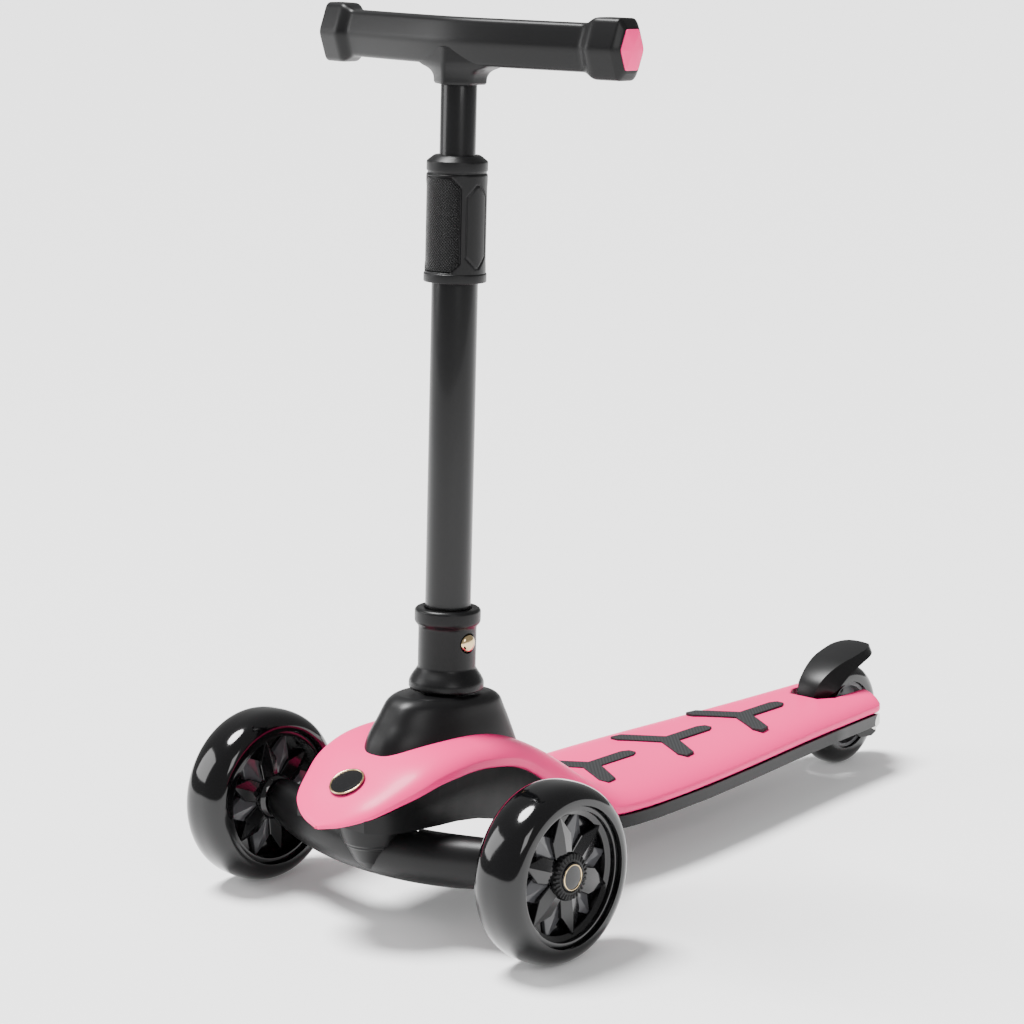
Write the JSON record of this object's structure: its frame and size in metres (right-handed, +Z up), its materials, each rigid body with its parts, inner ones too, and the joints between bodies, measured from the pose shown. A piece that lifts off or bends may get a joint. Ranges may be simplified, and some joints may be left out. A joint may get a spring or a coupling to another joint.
{
  "type": "kick scooter",
  "caption": "Child's lean-to-steer kick scooter with two front wheels, a small braked rear wheel, a raised-nose deck with grip pads and a telescoping stem with a swept T handlebar.",
  "frame": {"origin": "on the ground, below the middle of the scooter's length and width", "axes": "+X to the rider's left, -Y to the front (nose), +Z up"},
  "size_m": [0.3056, 0.605, 0.5995],
  "materials": {
    "pink_plastic": "satin-gloss moulded pink",
    "black_plastic": "satin moulded black",
    "grip_rubber": "matt, finely textured",
    "badge_plastic": "gloss black, plain",
    "black_tube": "satin black coating",
    "button_metal": "polished",
    "tyre_rubber": "glossy smoky black urethane",
    "smoke_plastic": "clear smoky black",
    "nylon": "natural nylon",
    "steel": "bright zinc"
  },
  "bodies": {
    "scooter": {"deck_cover": "pink_plastic", "chassis": "black_plastic", "grip_pad_front": "grip_rubber", "grip_pad_middle": "grip_rubber", "grip_pad_rear": "grip_rubber", "nose_badge": "badge_plastic", "stem_housing": "black_plastic", "socket_collar": "black_plastic", "lower_tube": "black_tube", "button_spring": "steel", "clamp_collet": "nylon", "pivot_bush_upper": "nylon", "pivot_pin": "steel", "pivot_nut": "steel", "steer_spring_left": "steel", "steer_spring_right": "steel", "rear_axle_spacer": "steel", "rear_axle": "steel", "rear_axle_nut": "steel", "brake_pin": "steel", "brake_spring": "steel", "chassis_screw_1": "steel", "chassis_screw_2": "steel", "chassis_screw_3": "steel", "chassis_screw_4": "steel"},
    "button": {"release_button": "button_metal"},
    "sleeve": {"clamp_sleeve": "black_plastic"},
    "upper_stem": {"upper_tube": "black_tube", "tube_guide": "nylon", "handlebar": "black_plastic", "bar_cap_left": "pink_plastic", "bar_cap_right": "pink_plastic"},
    "truck": {"axle_beam": "black_plastic", "pivot_bush_lower": "nylon", "front_axle_spacer_left": "steel", "front_axle_left": "steel", "front_axle_nut_left": "steel", "front_axle_spacer_right": "steel", "front_axle_right": "steel", "front_axle_nut_right": "steel"},
    "rear_wheel": {"rear_tyre": "tyre_rubber", "rear_wheel_core": "black_plastic", "rear_bearing_left": "steel", "rear_bearing_right": "steel"},
    "brake": {"brake_fender": "black_plastic"},
    "front_wheel_left": {"front_tyre_left": "tyre_rubber", "front_wheel_core_left": "smoke_plastic", "front_wheel_cover_left": "smoke_plastic", "front_hub_ring_left": "black_plastic", "front_hub_cap_left": "badge_plastic", "front_bearing_inner_left": "steel", "front_bearing_outer_left": "steel"},
    "front_wheel_right": {"front_tyre_right": "tyre_rubber", "front_wheel_core_right": "smoke_plastic", "front_wheel_cover_right": "smoke_plastic", "front_hub_ring_right": "black_plastic", "front_hub_cap_right": "badge_plastic", "front_bearing_inner_right": "steel", "front_bearing_outer_right": "steel"}
  },
  "joints": [
    {"name": "lean_steer", "type": "hinge", "parent": "scooter", "child": "truck", "pos_m": [0, -0.246, 0.055], "axis": [0, -0.2588, 0.9659], "range_deg": [-10, 10], "stiffness_Nm_per_rad": 20, "deforming": ["steer_spring_left", "steer_spring_right"]},
    {"name": "front_wheel_spin_left", "type": "hinge", "parent": "truck", "child": "front_wheel_left", "pos_m": [0.1335, -0.2235, 0.06], "axis": [1, 0, 0], "continuous": true},
    {"name": "front_wheel_spin_right", "type": "hinge", "parent": "truck", "child": "front_wheel_right", "pos_m": [-0.1335, -0.2235, 0.06], "axis": [1, 0, 0], "continuous": true},
    {"name": "rear_wheel_spin", "type": "hinge", "parent": "scooter", "child": "rear_wheel", "pos_m": [0, 0.2635, 0.039], "axis": [1, 0, 0], "continuous": true},
    {"name": "brake_press", "type": "hinge", "parent": "scooter", "child": "brake", "pos_m": [0, 0.218, 0.0405], "axis": [-1, 0, 0], "range_deg": [0, 5.5], "stiffness_Nm_per_rad": 1.2, "springref_deg": -8.59, "deforming": ["brake_spring"]},
    {"name": "height_slide", "type": "slide", "parent": "scooter", "child": "upper_stem", "axis": [0, 0.0454, 0.999], "range_m": [-0.04, 0.1]},
    {"name": "clamp_twist", "type": "hinge", "parent": "scooter", "child": "sleeve", "pos_m": [0, -0.16579, 0.42322], "axis": [0, 0.0454, 0.999], "range_deg": [0, 60]},
    {"name": "button_push", "type": "slide", "parent": "scooter", "child": "button", "axis": [-1, 0, 0], "range_m": [0, 0.0025], "stiffness_N_per_m": 600, "springref_m": -0.002, "deforming": ["button_spring"]}
  ]
}
